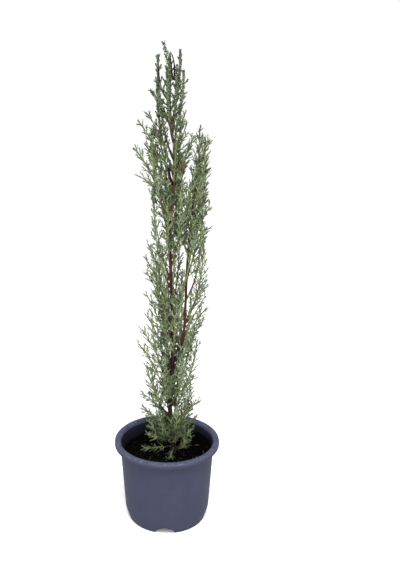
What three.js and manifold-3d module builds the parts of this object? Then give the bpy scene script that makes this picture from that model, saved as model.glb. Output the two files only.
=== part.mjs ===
// A young Italian cypress in a round nursery pot, built as an assembly of closed solids.
// Millimetres, +Z up. The origin lies on the pot's axis, at the level that the pot stands on.
// +X is the viewer's right and -Y faces the viewer. Heights on the plant count from the compost.
import * as THREE from "three";
import { mergeVertices } from "three/addons/utils/BufferGeometryUtils.js";
import Module from "manifold-3d";

const wasm = await Module();
wasm.setup();

// Clearance kept between pieces that touch on the real plant
const GAP = 0.3;
const SEED = 11;
const GOLDEN_TURN = 137.508;
const WELD = 1e-4;
const TANGENT_STEP = 0.01;

// Pot
const POT_SIDES = 36;
const POT_HEIGHT = 97;
const RIM_RADIUS = 60;
const RIM_DROP = 6.4;
const RIM_ROUND = 2.6;
const LIP_THICKENING = 3;
const WALL = 1.6;
const BODY_TOP_RADIUS = 54.2;
const BODY_LOW_RADIUS = 48.5;
const BEVEL_HEIGHT = 13;
const FOOT_RADIUS = 44.5;
const FOOT_WIDTH = 2.2;
const FLOOR_UNDERSIDE = 9;
const FLOOR_TOP = 11;
const NOTCHES = 4;
const NOTCH_WIDTH = 23;
const NOTCH_HEIGHT = 7.8;
const NOTCH_SEGMENTS = 6;
const FIRST_NOTCH_TURN = -93;
const DRAIN_RADIUS = 4;
const DRAIN_CIRCLE = 30;
const DRAIN_SIDES = 6;

// Compost
const COMPOST_TOP = 79;
const COMPOST_RINGS = [0.8, 0.55, 0.3];
const COMPOST_HOLLOW = 2.2;
const COMPOST_FLAT = [9, 18];
const COMPOST_BANK = { turn: 28, height: 8, from: 28 };
const COMPOST_WAVES = [
  { x: 1 / 6, y: 0, start: 1 },
  { x: 0, y: 1 / 7, start: 1.1 },
  { x: 1 / 9, y: 1 / 9, start: 0 },
];

// Trunk, which is the leader: height, then its place across and in depth where its sway turns
const LEADER_SWAY = [
  [0, 7, 0],
  [60, 3.5, -1],
  [130, 6.8, 1],
  [245, 3.5, -1],
  [335, 7.2, 1],
  [452, -3.2, 0],
];
const LEADER_TOP = 452;
const TRUNK_TOP = 397;
const TRUNK_FOOT_RADIUS = 2.7;
const TRUNK_TOP_RADIUS = 1;
const ROOT_FLARE = 0.8;
const ROOT_FLARE_HEIGHT = 7;
const STEM_SIDES = 8;
const TRUNK_STEP = 18;
const TRUNK_CROWDING = 1.25;

// Second leader, which forks off to the right, bends upright and drifts outward
const FORK_HEIGHT = 122;
const FORK_SPREAD = 10.5;
const FORK_BEND = 8;
const FORK_DRIFT = 0.07;
const FORK_FORWARD = -4;
const SECOND_TOP = 321;
const SECOND_TIP = 367;
const SECOND_FOOT_RADIUS = 1.7;
const SECOND_TOP_RADIUS = 0.9;
const SECOND_STEP = 16;
const SECOND_CROWDING = 1.5;

// Crown outline: height, then how far the foliage reaches left and right of the pot's axis
const CROWN_OUTLINE = [
  [0, 30, 26],
  [40, 24, 31],
  [65, 28, 36],
  [90, 25, 31],
  [135, 31, 37],
  [165, 24, 42],
  [200, 24, 46],
  [278, 15, 44],
  [307, 20, 41],
  [345, 34, 41],
  [361, 29, 42],
  [383, 26, 22],
  [399, 17, 18],
  [443, 11, 15],
  [452, 6, -1],
];
const CROWN_DEPTH_SHARE = 0.92;

// Boughs: how far each climbs to the tip of its foliage, by the height where it leaves its stem
const LEADER_BOUGHS = 20;
const LEADER_FIRST_RISE = 2;
const LEADER_LAST_RISE = 383;
const LEADER_FIRST_TURN = 326;
const RISE_CROWDING = 1.45;
const SECOND_BOUGHS = 6;
const SECOND_FIRST_RISE = 133;
const SECOND_LAST_RISE = 265;
const SECOND_FAN = 105;
const FORK_SHADOW = 35;
const SHADOW_FROM = 82;
const CLIMB_BY_RISE = [
  [2, 24],
  [25, 50],
  [70, 80],
  [195, 100],
  [325, 88],
  [383, 58],
];
const AXIS_SHARE = 0.8;
const BOUGH_LEAVES_AT = [0.72, 0.22];
const BOUGH_UPRIGHT = 0.45;
const BOUGH_END = 0.25;
const BOUGH_RADIUS = [1.25, 0.8];
const BOUGH_SIDES = 5;
const BOUGH_STEPS = 3;

// Foliage: a stem with side twigs. Short shoots stand out of them all, one at each ring by turns
const TWIG_SIDES = 3;
const STEM = { radius: [1.2, 0.7], ringStep: 4.6, shoots: [18, 12], slant: [46, 18] };
const TWIG = { radius: [1, 0.6], ringStep: 4, shoots: [14, 9], slant: [46, 20] };
const TWIGS_LEAVE_AT = [0.1, 0.28, 0.46];
const TWIG_SHARE = 0.5;
const TWIG_SLANT = 28;
const TWIG_LIFT = 0.25;
const SHOOT_CLEARANCE = 0.5;
const SHORTER_TRIES = [1, 0.8, 0.6, 0.4];
const TWIG_LENGTHS = [0.85, 1.15];
const SHOOT_SLANTS = [0.85, 1.15];
const SHOOT_LENGTHS = [0.8, 1.1];
const TWIG_TEST_SPOTS = [0.25, 0.5, 0.75, 1];
const FEWEST_RINGS = 3;

// Parts that the lines used for clearances are cut into, and the keys that keep draws apart
const STEM_LINES = 30;
const SPACE_LINES = 12;
const BOUGH_LINES = 8;
const KEY = { twigTurn: 20, twigLength: 21, ringTurn: 30, shootSlant: 31, shootLength: 32 };
const KEYS_PER_PLUME = 10;
const KEYS_PER_TWIG = 100;

// Finishes
const FINISH = {
  pot: { color: 0x545a70, roughness: 0.55, metalness: 0 },
  compost: { color: 0x14110e, roughness: 0.95, metalness: 0 },
  bark: { color: 0x5a2f24, roughness: 0.8, metalness: 0 },
  foliage: { color: 0x5f7a50, roughness: 0.65, metalness: 0 },
};

const UP = new THREE.Vector3(0, 0, 1);
const radians = THREE.MathUtils.degToRad;
const lerp = THREE.MathUtils.lerp;

// A repeatable number from 0 to 1 that depends only on the whole numbers given
function chance(...keys) {
  let h = SEED;
  for (const key of keys) {
    h = Math.imul(h ^ (key + 0x9e3779b9), 0x85ebca6b);
    h ^= h >>> 13;
  }
  h = Math.imul(h, 0xc2b2ae35);
  return ((h ^ (h >>> 16)) >>> 0) / 4294967296;
}

// The values of a table of stations at a height, eased from one station to the next
function along(stations, height) {
  const last = stations.length - 1;
  const next = stations.findIndex((station) => station[0] >= height);
  if (next === 0 || next === -1) return stations[next === 0 ? 0 : last].slice(1);
  const [low, high] = [stations[next - 1], stations[next]];
  const share = THREE.MathUtils.smoothstep(height, low[0], high[0]);
  return low.slice(1).map((value, i) => lerp(value, high[i + 1], share));
}

function heading(turn) {
  return new THREE.Vector3(Math.cos(radians(turn)), Math.sin(radians(turn)), 0);
}

function tangentOf(pointAt, t) {
  const before = pointAt(Math.max(0, t - TANGENT_STEP));
  return pointAt(Math.min(1, t + TANGENT_STEP)).sub(before).normalize();
}

// Joining and cutting of closed meshes

function solidOf(geometry) {
  const bare = geometry.clone();
  bare.deleteAttribute("normal");
  bare.deleteAttribute("uv");
  const merged = mergeVertices(bare, WELD);
  return new wasm.Manifold(
    new wasm.Mesh({
      numProp: 3,
      vertProperties: merged.attributes.position.array,
      triVerts: new Uint32Array(merged.index.array),
    }),
  );
}

// The largest body of a solid, with loose scraps and sealed hollows dropped, as a geometry
function geometryOf(solid) {
  const bodies = solid.decompose().sort((a, b) => b.volume() - a.volume());
  const mesh = bodies[0].getMesh();
  return new THREE.BufferGeometry()
    .setAttribute("position", new THREE.BufferAttribute(mesh.vertProperties, 3))
    .setIndex(new THREE.BufferAttribute(mesh.triVerts, 1));
}

function piece(name, geometry, finish) {
  const mesh = new THREE.Mesh(geometry, new THREE.MeshStandardMaterial(FINISH[finish]));
  mesh.geometry.computeVertexNormals();
  mesh.name = name;
  return mesh;
}

// A limb that follows a route: a cylinder, or a cone where it is pointed, bent along it. It is
// turned round the route by one angle, and twisted by another at each step
function limb(pointAt, radiusAt, sides, steps, { pointed = false, turn = 0, twist = 0 } = {}) {
  const shape = pointed
    ? new THREE.ConeGeometry(1, 1, sides, steps)
    : new THREE.CylinderGeometry(1, 1, 1, sides, steps);
  const place = shape.attributes.position;
  const across = pointAt(1).sub(pointAt(0)).normalize();
  const side = Math.abs(across.x) < 0.7 ? new THREE.Vector3(1, 0, 0) : new THREE.Vector3(0, 1, 0);
  const spot = new THREE.Vector3();
  for (let i = 0; i < place.count; i++) {
    spot.fromBufferAttribute(place, i);
    const t = THREE.MathUtils.clamp(spot.y + 0.5, 0, 1);
    const tangent = tangentOf(pointAt, t);
    const normal = side
      .clone()
      .addScaledVector(tangent, -side.dot(tangent))
      .normalize()
      .applyAxisAngle(tangent, radians(turn + twist * t * steps));
    const binormal = normal.clone().cross(tangent);
    const reach = Math.hypot(spot.x, spot.z);
    const scale = reach > WELD ? radiusAt(t) / reach : 0;
    const moved = pointAt(t)
      .addScaledVector(normal, spot.x * scale)
      .addScaledVector(binormal, spot.z * scale);
    place.setXYZ(i, moved.x, moved.y, moved.z);
  }
  return shape;
}

// Pot and compost

// The outside of the wall, which tapers down to a bevel
function wallRadius(z) {
  return z < BEVEL_HEIGHT
    ? THREE.MathUtils.mapLinear(z, 0, BEVEL_HEIGHT, FOOT_RADIUS, BODY_LOW_RADIUS)
    : THREE.MathUtils.mapLinear(z, BEVEL_HEIGHT, POT_HEIGHT, BODY_LOW_RADIUS, BODY_TOP_RADIUS);
}

function spun(profile) {
  const points = profile.map(([radius, z]) => new THREE.Vector2(radius, z));
  return new THREE.LatheGeometry(points, POT_SIDES).rotateX(Math.PI / 2);
}

function potShell() {
  const lipUnder = POT_HEIGHT - WALL - LIP_THICKENING;
  const rimFoot = POT_HEIGHT - RIM_DROP;
  const rimInside = wallRadius(POT_HEIGHT) - WALL;
  const footInside = FOOT_RADIUS - FOOT_WIDTH;
  return spun([
    [0, FLOOR_UNDERSIDE],
    [wallRadius(FLOOR_UNDERSIDE) - FOOT_WIDTH, FLOOR_UNDERSIDE],
    [footInside, 0],
    [FOOT_RADIUS, 0],
    [wallRadius(BEVEL_HEIGHT), BEVEL_HEIGHT],
    [wallRadius(lipUnder), lipUnder],
    [RIM_RADIUS - WALL, lipUnder],
    [RIM_RADIUS - WALL, rimFoot],
    [RIM_RADIUS, rimFoot],
    [RIM_RADIUS, POT_HEIGHT - RIM_ROUND],
    [RIM_RADIUS - RIM_ROUND, POT_HEIGHT],
    [rimInside + RIM_ROUND, POT_HEIGHT],
    [rimInside, POT_HEIGHT - RIM_ROUND],
    [wallRadius(BEVEL_HEIGHT) - WALL, BEVEL_HEIGHT],
    [wallRadius(FLOOR_TOP) - WALL, FLOOR_TOP],
    [0, FLOOR_TOP],
  ]);
}

// An arch that is cut through the foot: a round segment as wide and as high as the notch
function notchCutter(turn) {
  const half = NOTCH_WIDTH / 2;
  const radius = (half * half + NOTCH_HEIGHT * NOTCH_HEIGHT) / (2 * NOTCH_HEIGHT);
  const drop = radius - NOTCH_HEIGHT;
  const spread = Math.asin(half / radius);
  const arch = new THREE.Shape();
  arch.moveTo(-half, -1);
  arch.lineTo(half, -1);
  arch.absarc(0, -drop, radius, Math.PI / 2 - spread, Math.PI / 2 + spread, false);
  const depth = 4 * (wallRadius(BEVEL_HEIGHT) - FOOT_RADIUS + FOOT_WIDTH);
  return new THREE.ExtrudeGeometry(arch, { depth, bevelEnabled: false, curveSegments: NOTCH_SEGMENTS })
    .translate(0, 0, FOOT_RADIUS - depth / 2)
    .rotateX(Math.PI / 2)
    .rotateZ(radians(turn + 90));
}

function drainCutter(turn) {
  const height = 3 * (FLOOR_TOP - FLOOR_UNDERSIDE);
  const spot = heading(turn).multiplyScalar(DRAIN_CIRCLE);
  return new THREE.CylinderGeometry(DRAIN_RADIUS, DRAIN_RADIUS, height, DRAIN_SIDES)
    .rotateX(Math.PI / 2)
    .translate(spot.x, spot.y, (FLOOR_TOP + FLOOR_UNDERSIDE) / 2);
}

function pot() {
  let shell = solidOf(potShell());
  for (let i = 0; i < NOTCHES; i++) {
    const turn = FIRST_NOTCH_TURN + (i * 360) / NOTCHES;
    shell = shell.subtract(solidOf(notchCutter(turn)));
    shell = shell.subtract(solidOf(drainCutter(turn + 180 / NOTCHES)));
  }
  return piece("pot", geometryOf(shell), "pot");
}

// How far the compost lies under its level: uneven, but flat round the trunk's foot
function compostHollow(x, y) {
  const foot = leaderAt(0);
  const bare = THREE.MathUtils.smoothstep(Math.hypot(x - foot.x, y - foot.y), ...COMPOST_FLAT);
  const waves = COMPOST_WAVES.map((wave) => 1 - Math.sin(x * wave.x + y * wave.y + wave.start));
  const mean = waves.reduce((sum, depth) => sum + depth) / waves.length;
  return (bare * COMPOST_HOLLOW * mean) / 2;
}

// How far the compost is banked up against the wall, on one side
function compostBank(x, y) {
  const away = heading(COMPOST_BANK.turn).dot(new THREE.Vector3(x, y, 0));
  const wall = wallRadius(COMPOST_TOP) - WALL;
  return COMPOST_BANK.height * THREE.MathUtils.smoothstep(away, COMPOST_BANK.from, wall);
}

function compost() {
  const low = FLOOR_TOP + GAP;
  const radiusAt = (z) => wallRadius(z) - WALL - GAP;
  const edge = radiusAt(COMPOST_TOP);
  const heap = spun([
    [0, low],
    [radiusAt(low), low],
    [radiusAt(BEVEL_HEIGHT), BEVEL_HEIGHT],
    [edge, COMPOST_TOP],
    ...COMPOST_RINGS.map((share) => [edge * share, COMPOST_TOP]),
    [0, COMPOST_TOP],
  ]);
  const place = heap.attributes.position;
  for (let i = 0; i < place.count; i++) {
    const [x, y, z] = [place.getX(i), place.getY(i), place.getZ(i)];
    const onEdge = Math.hypot(x, y) > edge - GAP;
    const hollow = onEdge ? 0 : compostHollow(x, y);
    if (z > COMPOST_TOP - GAP) place.setZ(i, z - hollow + compostBank(x, y));
  }
  return piece("compost", geometryOf(solidOf(heap)), "compost");
}

// Stems

function leaderAt(height) {
  const [x, y] = along(LEADER_SWAY, height);
  return new THREE.Vector3(x, y, COMPOST_TOP + height);
}

function secondAt(height) {
  const above = height - FORK_HEIGHT;
  const bend = 1 - Math.exp(-above / FORK_BEND);
  return leaderAt(height).add(
    new THREE.Vector3(FORK_SPREAD * bend + FORK_DRIFT * above, FORK_FORWARD * bend, 0),
  );
}

function trunkRadius(height) {
  const taper = lerp(TRUNK_FOOT_RADIUS, TRUNK_TOP_RADIUS, height / TRUNK_TOP);
  return taper + ROOT_FLARE * Math.exp(-height / ROOT_FLARE_HEIGHT);
}

function secondRadius(height) {
  const share = (height - FORK_HEIGHT) / (SECOND_TOP - FORK_HEIGHT);
  return lerp(SECOND_FOOT_RADIUS, SECOND_TOP_RADIUS, share);
}

// A stem between two heights, with a clearance that may be added to its radius
function stemLimb(stem, from, to, extra = 0) {
  const heightAt = (t) => lerp(from, to, stem.ease(t));
  const steps = Math.round((to - from) / stem.step);
  const radiusAt = (t) => stem.radius(heightAt(t)) + extra;
  return limb((t) => stem.at(heightAt(t)), radiusAt, STEM_SIDES, steps);
}

const LEADER = {
  at: leaderAt,
  radius: trunkRadius,
  top: TRUNK_TOP,
  step: TRUNK_STEP,
  ease: (t) => t ** TRUNK_CROWDING,
};
const SECOND = {
  at: secondAt,
  radius: secondRadius,
  top: SECOND_TOP,
  step: SECOND_STEP,
  ease: (t) => t ** SECOND_CROWDING,
};

// Crown

function crownSection(height) {
  const [left, right] = along(CROWN_OUTLINE, height);
  const half = (left + right) / 2;
  return { x: (right - left) / 2, half, depth: half * CROWN_DEPTH_SHARE };
}

function insideCrown(spot) {
  const { x, half, depth } = crownSection(spot.z - COMPOST_TOP);
  return spot.z < COMPOST_TOP + LEADER_TOP && Math.hypot((spot.x - x) / half, spot.y / depth) < 1;
}

// The distance from a place to the crown's outline in one direction
function reachToOutline(spot, direction) {
  const { x, half, depth } = crownSection(spot.z - COMPOST_TOP);
  const from = new THREE.Vector2((spot.x - x) / half, spot.y / depth);
  const toward = new THREE.Vector2(direction.x / half, direction.y / depth);
  const a = toward.lengthSq();
  const b = from.dot(toward);
  return (-b + Math.sqrt(Math.max(0, b * b - a * (from.lengthSq() - 1)))) / a;
}

// The route of a bough and the foliage that carries on from it
function plumeRoute(stem, rise, turn) {
  const [climb] = along(CLIMB_BY_RISE, rise);
  const outward = heading(turn);
  const start = stem.at(rise);
  const beside = stem.at(rise + climb);
  const tip = beside.clone().addScaledVector(outward, AXIS_SHARE * reachToOutline(beside, outward));
  const spread = Math.hypot(tip.x - start.x, tip.y - start.y);
  const leaves = start
    .clone()
    .addScaledVector(outward, BOUGH_LEAVES_AT[0] * spread)
    .addScaledVector(UP, BOUGH_LEAVES_AT[1] * climb);
  const upright = tip.clone().addScaledVector(UP, -BOUGH_UPRIGHT * climb);
  return new THREE.CubicBezierCurve3(start, leaves, upright, tip);
}

// Leader boughs that would run into the second leader are turned out of its way
function leaderTurn(i, rise) {
  const turn = THREE.MathUtils.euclideanModulo(LEADER_FIRST_TURN + i * GOLDEN_TURN, 360);
  const shaded = rise > SHADOW_FROM && rise < SECOND_TOP;
  return shaded ? FORK_SHADOW + (turn * (360 - 2 * FORK_SHADOW)) / 360 : turn;
}

function secondTurn(i) {
  return THREE.MathUtils.euclideanModulo(i * GOLDEN_TURN, 2 * SECOND_FAN) - SECOND_FAN;
}

// A bough and its foliage share a number, counted up each stem
function growPlumes() {
  const plumes = [];
  const add = (name, stem, route, from) => plumes.push({ id: plumes.length, name, stem, route, from });
  for (let i = 0; i < LEADER_BOUGHS; i++) {
    const share = (i / (LEADER_BOUGHS - 1)) ** RISE_CROWDING;
    const rise = lerp(LEADER_FIRST_RISE, LEADER_LAST_RISE, share);
    const name = `leader_${String(i + 1).padStart(2, "0")}`;
    add(name, LEADER, plumeRoute(LEADER, rise, leaderTurn(i, rise)), BOUGH_END);
  }
  for (let i = 0; i < SECOND_BOUGHS; i++) {
    const rise = lerp(SECOND_FIRST_RISE, SECOND_LAST_RISE, i / (SECOND_BOUGHS - 1));
    const name = `second_${String(i + 1).padStart(2, "0")}`;
    add(name, SECOND, plumeRoute(SECOND, rise, secondTurn(i)), BOUGH_END);
  }
  const tops = [
    ["leader_top", LEADER, LEADER_TOP],
    ["second_top", SECOND, SECOND_TIP],
  ];
  for (const [name, stem, tip] of tops) {
    const heights = [0, 1 / 3, 2 / 3, 1].map((share) => lerp(stem.top, tip, share));
    const route = new THREE.CatmullRomCurve3(heights.map(stem.at));
    add(name, stem, route, 0);
  }
  return plumes;
}

// Everything that a twig has to keep clear of, as lines with a radius

function linesOf(pointAt, radiusAt, count) {
  return Array.from({ length: count }, (_, i) => ({
    line: new THREE.Line3(pointAt(i / count), pointAt((i + 1) / count)),
    radius: Math.max(radiusAt(i / count), radiusAt((i + 1) / count)),
  }));
}

function distanceTo(lines, spot) {
  const near = new THREE.Vector3();
  const gaps = lines.map(({ line, radius }) => {
    return line.closestPointToPoint(spot, true, near).distanceTo(spot) - radius;
  });
  return Math.min(...gaps);
}

function stemLines(stem, from) {
  const heightAt = (t) => lerp(from, stem.top, t);
  return linesOf((t) => stem.at(heightAt(t)), (t) => stem.radius(heightAt(t)), STEM_LINES);
}

function boughRadius(t) {
  return lerp(...BOUGH_RADIUS, t);
}

// The foliage starts clear of its bough's cut end by the gap
function foliageStart(plume) {
  return plume.from + GAP / plume.route.getLength();
}

const plumes = growPlumes();
for (const plume of plumes) {
  const first = foliageStart(plume);
  plume.stemAt = (t) => plume.route.getPointAt(lerp(first, 1, t));
  plume.space = linesOf(plume.stemAt, () => 0, SPACE_LINES);
  plume.limbs = plume.from
    ? linesOf((t) => plume.route.getPointAt(t * plume.from), boughRadius, BOUGH_LINES)
    : [];
}
const limbLines = [
  ...stemLines(LEADER, 0),
  ...stemLines(SECOND, FORK_HEIGHT),
  ...plumes.flatMap((plume) => plume.limbs),
];

// A twig fits where it lies in the crown, off the compost, clear of limbs and in its own foliage's space
function fits(spots, radius, plume) {
  return spots.every((spot) => {
    if (!insideCrown(spot) || spot.z < COMPOST_TOP + 2 * radius) return false;
    if (distanceTo(limbLines, spot) < radius + GAP) return false;
    const own = distanceTo(plume.space, spot) + 2 * radius + GAP;
    return plumes.every((other) => other === plume || distanceTo(other.space, spot) > own);
  });
}

// A direction that leaves a tangent at a slant towards an outward one
function leaning(tangent, outward, slant) {
  const side = outward.clone().addScaledVector(tangent, -outward.dot(tangent)).normalize();
  return tangent
    .clone()
    .multiplyScalar(Math.cos(radians(slant)))
    .addScaledVector(side, Math.sin(radians(slant)));
}

// The stem of a piece of foliage and the side twigs that find room on it
function twigRoutes(plume) {
  const length = plume.route.getLength() * (1 - foliageStart(plume));
  const twigs = TWIGS_LEAVE_AT.map((t, i) => {
    const turn = i * GOLDEN_TURN + 360 * chance(plume.id, KEY.twigTurn);
    const away = leaning(tangentOf(plume.stemAt, t), heading(turn), TWIG_SLANT);
    const lifted = away.clone().addScaledVector(UP, TWIG_LIFT).normalize();
    const varied = lerp(...TWIG_LENGTHS, chance(plume.id, i, KEY.twigLength));
    const full = TWIG_SHARE * (1 - t) * length * varied;
    const tries = SHORTER_TRIES.map((share) => twigRoute(plume.stemAt(t), away, lifted, full * share));
    return tries.find(({ at, radius }) => fits(TWIG_TEST_SPOTS.map(at), radius[0], plume));
  });
  return [{ ...STEM, at: plume.stemAt, length }, ...twigs.filter(Boolean)];
}

function twigRoute(root, away, lifted, length) {
  const middle = root.clone().addScaledVector(away, length / 2);
  const tip = middle.clone().addScaledVector(lifted, length / 2);
  const curve = new THREE.QuadraticBezierCurve3(root, middle, tip);
  return { ...TWIG, at: (t) => curve.getPoint(t), length };
}

// The tip of a shoot that grows from a place on a twig's skin: shortened until it finds room, or nothing
function shootTip(plume, twig, t, skin, key) {
  const slant = lerp(...twig.slant, t) * lerp(...SHOOT_SLANTS, chance(key, KEY.shootSlant));
  const direction = leaning(tangentOf(twig.at, t), skin.clone().sub(twig.at(t)), slant);
  const full = lerp(...twig.shoots, t) * lerp(...SHOOT_LENGTHS, chance(key, KEY.shootLength));
  const tips = SHORTER_TRIES.map((share) => skin.clone().addScaledVector(direction, full * share));
  return tips.find((tip) => fits([skin.clone().lerp(tip, 0.5), tip], SHOOT_CLEARANCE, plume));
}

// A twig with its shoots: at each ring of the limb one corner is drawn out, round by the golden turn
function feathered(plume, twig, twigKey) {
  const rings = Math.max(FEWEST_RINGS, Math.round(twig.length / twig.ringStep));
  const twist = GOLDEN_TURN - 360 / TWIG_SIDES;
  const turn = 360 * chance(twigKey, KEY.ringTurn);
  const radiusAt = (t) => lerp(...twig.radius, t);
  const shape = limb(twig.at, radiusAt, TWIG_SIDES, rings, { pointed: true, turn, twist });
  const place = shape.attributes.position;
  for (let ring = 1; ring < rings; ring++) {
    const corner = ring % TWIG_SIDES;
    const index = (rings - ring) * (TWIG_SIDES + 1) + corner;
    const skin = new THREE.Vector3().fromBufferAttribute(place, index);
    const key = twigKey * KEYS_PER_TWIG + ring;
    const tip = shootTip(plume, twig, ring / rings, skin, key) ?? skin;
    const copies = corner === 0 ? [index, index + TWIG_SIDES] : [index];
    copies.forEach((copy) => place.setXYZ(copy, tip.x, tip.y, tip.z));
  }
  return shape;
}

function foliage(plume) {
  const firstKey = plume.id * KEYS_PER_PLUME;
  const shapes = twigRoutes(plume).map((twig, i) => feathered(plume, twig, firstKey + i));
  const fused = shapes.map(solidOf).reduce((all, one) => all.add(one));
  return piece(`foliage_${plume.name}`, geometryOf(fused), "foliage");
}

// Assembly

function sleeve(stem, from) {
  return solidOf(stemLimb(stem, from, stem.top, GAP));
}

const leaderSleeve = sleeve(LEADER, 0);
const secondSleeve = sleeve(SECOND, FORK_HEIGHT);

function bough(plume) {
  const pointAt = (t) => plume.route.getPointAt(t * plume.from);
  const shape = limb(pointAt, boughRadius, BOUGH_SIDES, BOUGH_STEPS);
  const cut = solidOf(shape).subtract(plume.stem === LEADER ? leaderSleeve : secondSleeve);
  return piece(`bough_${plume.name}`, geometryOf(cut), "bark");
}

function trunk() {
  const shape = stemLimb(LEADER, 0, TRUNK_TOP - GAP);
  return piece("trunk", shape.translate(0, 0, GAP), "bark");
}

function secondLeader() {
  const shape = solidOf(stemLimb(SECOND, FORK_HEIGHT, SECOND_TOP)).subtract(leaderSleeve);
  return piece("second_leader", geometryOf(shape), "bark");
}

const cypress = new THREE.Group();
cypress.add(pot(), compost(), trunk(), secondLeader());
for (const plume of plumes) {
  if (plume.from) cypress.add(bough(plume));
  cypress.add(foliage(plume));
}

export default cypress;
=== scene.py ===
"""A young Italian cypress in a nursery pot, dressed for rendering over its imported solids.

The plant grows by the rule of the part's source, carried on to finer twigs and scale leaves.
Lengths are millimetres, and become metres where a mesh is made. The plant's heights count from the
compost, and the pot's from its foot.
"""
import math
from collections import defaultdict, namedtuple

import bpy
import numpy as np
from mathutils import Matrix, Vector


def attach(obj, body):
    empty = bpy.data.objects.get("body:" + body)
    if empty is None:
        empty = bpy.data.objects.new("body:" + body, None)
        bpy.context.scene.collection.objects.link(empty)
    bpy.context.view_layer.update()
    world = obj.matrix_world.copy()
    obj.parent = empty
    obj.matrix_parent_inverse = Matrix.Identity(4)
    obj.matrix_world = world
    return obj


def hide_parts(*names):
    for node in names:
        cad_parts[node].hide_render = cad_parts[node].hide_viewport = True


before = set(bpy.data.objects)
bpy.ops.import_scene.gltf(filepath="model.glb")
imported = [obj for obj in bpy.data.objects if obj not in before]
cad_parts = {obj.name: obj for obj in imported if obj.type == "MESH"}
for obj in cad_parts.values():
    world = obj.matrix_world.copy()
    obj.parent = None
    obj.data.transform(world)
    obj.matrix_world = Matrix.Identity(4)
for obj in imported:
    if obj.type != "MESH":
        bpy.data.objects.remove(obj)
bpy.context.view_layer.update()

MM = 0.001
SEED = 11
GOLDEN_TURN = 137.508
UP = np.array([0.0, 0.0, 1.0])
MOSTLY_X = 0.7

# Numbers that stir the repeatable draws and the noise
MASK = 0xFFFFFFFF
LOW_BITS = 0xFFFF
HASH_ADD = 0x9E3779B9
HASH_STIR = 0x85EBCA6B
HASH_LAST = 0xC2B2AE35
SHIFT = 13
LAST_SHIFT = 16
LATTICE_PRIMES = (73856093, 19349663, 83492791)
LATTICE_SEED_PRIME = 2654435761
LATTICE_STIR = 1274126177
LATTICE_SHIFT = 17.3

# Pot
POT_HEIGHT = 97
RIM_RADIUS = 60
RIM_DROP = 6.4
RIM_INNER_ROUND = (4.0, 4.2)
RIM_OUTER_ROUND = (3.0, 2.8)
EDGE_ROUND = 0.6
LIP_THICKNESS = 4.6
WALL = 1.6
LEDGE_DROP = 13
LEDGE_WIDTH = 0.7
LEDGE_SLOPE = (1, 0.3)
THICKENS_FROM = 8
THICKENS_OVER = 30
LIP_ROUND = 1
BODY_TOP_RADIUS = 54.2
BODY_LOW_RADIUS = 48.5
BEVEL_HEIGHT = 13
BEVEL_EDGE = 1
FOOT_RADIUS = 44.5
FOOT_WIDTH = 2.2
FOOT_EDGE = (0.4, 0.3)
FLOOR_UNDERSIDE = 9
FLOOR_TOP = 11
FLOOR_CORNER_ROUND = 2
FLOOR_CORNER_ARC = (-70, 0)
NOTCHES = 4
NOTCH_WIDTH = 23
NOTCH_HEIGHT = 7.8
FIRST_NOTCH_TURN = -93
DRAIN_RADIUS = 4
DRAIN_CIRCLE = 30
DRAIN_SIDES = 28

# Pot mesh: steps round it, points on its section, room for rounded edges, and what sorts its faces
NOTCH_STEPS = 16
PLAIN_STEPS = 24
ARC_POINTS = 6
SMALL_ARC_POINTS = 4
WALL_POINTS = {"inside": 8, "over ledge": 4, "outside": 12, "bevel": 6, "foot": 3}
UNDER_RIM = 1
UNDER_LIP = 6
FACES_UP = 0.9
SKIN = 0.01
SHARP_ANGLE = 50

# Compost, in waves of a size and depth each, banked up against the wall on one side
COMPOST_TOP = 79
COMPOST_GAP = 0.3
COMPOST_WAVES = ((14, 2.4), (5, 1.7), (2.1, 1.5))
COMPOST_WAVE_LEVEL = 0.6
COMPOST_WAVE_SEED = 3
BANK_TURN = 28
BANK_HEIGHT = 8
BANK_FROM = 28
COMPOST_CHAMFER = 1
COMPOST_STEPS = 180
COMPOST_RINGS = 60

# Litter on the compost: how many bits, their radius, the middle and spread of the patch, and two tones
Bits = namedtuple("Bits", "count radius middle spread dark light")
LITTER = {
    "crumbs": Bits(1700, (0.5, 1.9), (0, 0), 40, (0.0005, 0.0004, 0.0004), (0.002, 0.0017, 0.0014)),
    "flecks": Bits(130, (0.3, 0.8), (-6, -22), 26, (0.05, 0.055, 0.045), (0.34, 0.35, 0.29)),
    "moss": Bits(300, (0.4, 0.9), (-22, -16), 14, (0.003, 0.004, 0.001), (0.035, 0.043, 0.01)),
}
LITTER_MARGIN = 2
SPARE_PLACES = 4
LUMP_SQUASH = 0.7
LUMP_ROUGHNESS = (0.6, 1.2)
LUMP_LIFT = 0.3
STRAWS = 14
STRAW_LENGTH = (4, 11)
STRAW_RADIUS = 0.22
STRAW_MIDDLE = (26, -4)
STRAW_SPREAD = 14
STRAW_BEND = 0.5
STRAW_RISE = 0.4
STRAW_POINTS = 7
STRAW_SIDES = 4
STRAW_TONES = ((0.012, 0.011, 0.01), (0.13, 0.125, 0.11))

# Trunk, which is the leader: height, then its place across and in depth where its sway turns
LEADER_SWAY = [(0, 7, 0), (60, 3.5, -1), (130, 6.8, 1), (245, 3.5, -1), (335, 7.2, 1), (452, -3.2, 0)]
LEADER_TOP = 452
TRUNK_TOP = 397
TRUNK_FOOT_RADIUS = 2.7
TRUNK_TOP_RADIUS = 1
TRUNK_SINK = 3
TRUNK_SIDES = 20
ROOT_FLARE = 0.8
ROOT_FLARE_HEIGHT = 7
STEM_STEP = 1.6

# Second leader, which forks off to the right, bends upright and drifts outward
FORK_HEIGHT = 122
FORK_SPREAD = 10.5
FORK_BEND = 8
FORK_DRIFT = 0.07
FORK_FORWARD = -4
SECOND_TOP = 321
SECOND_TIP = 367
SECOND_FOOT_RADIUS = 1.7
SECOND_TOP_RADIUS = 0.9
SECOND_SIDES = 14

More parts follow.
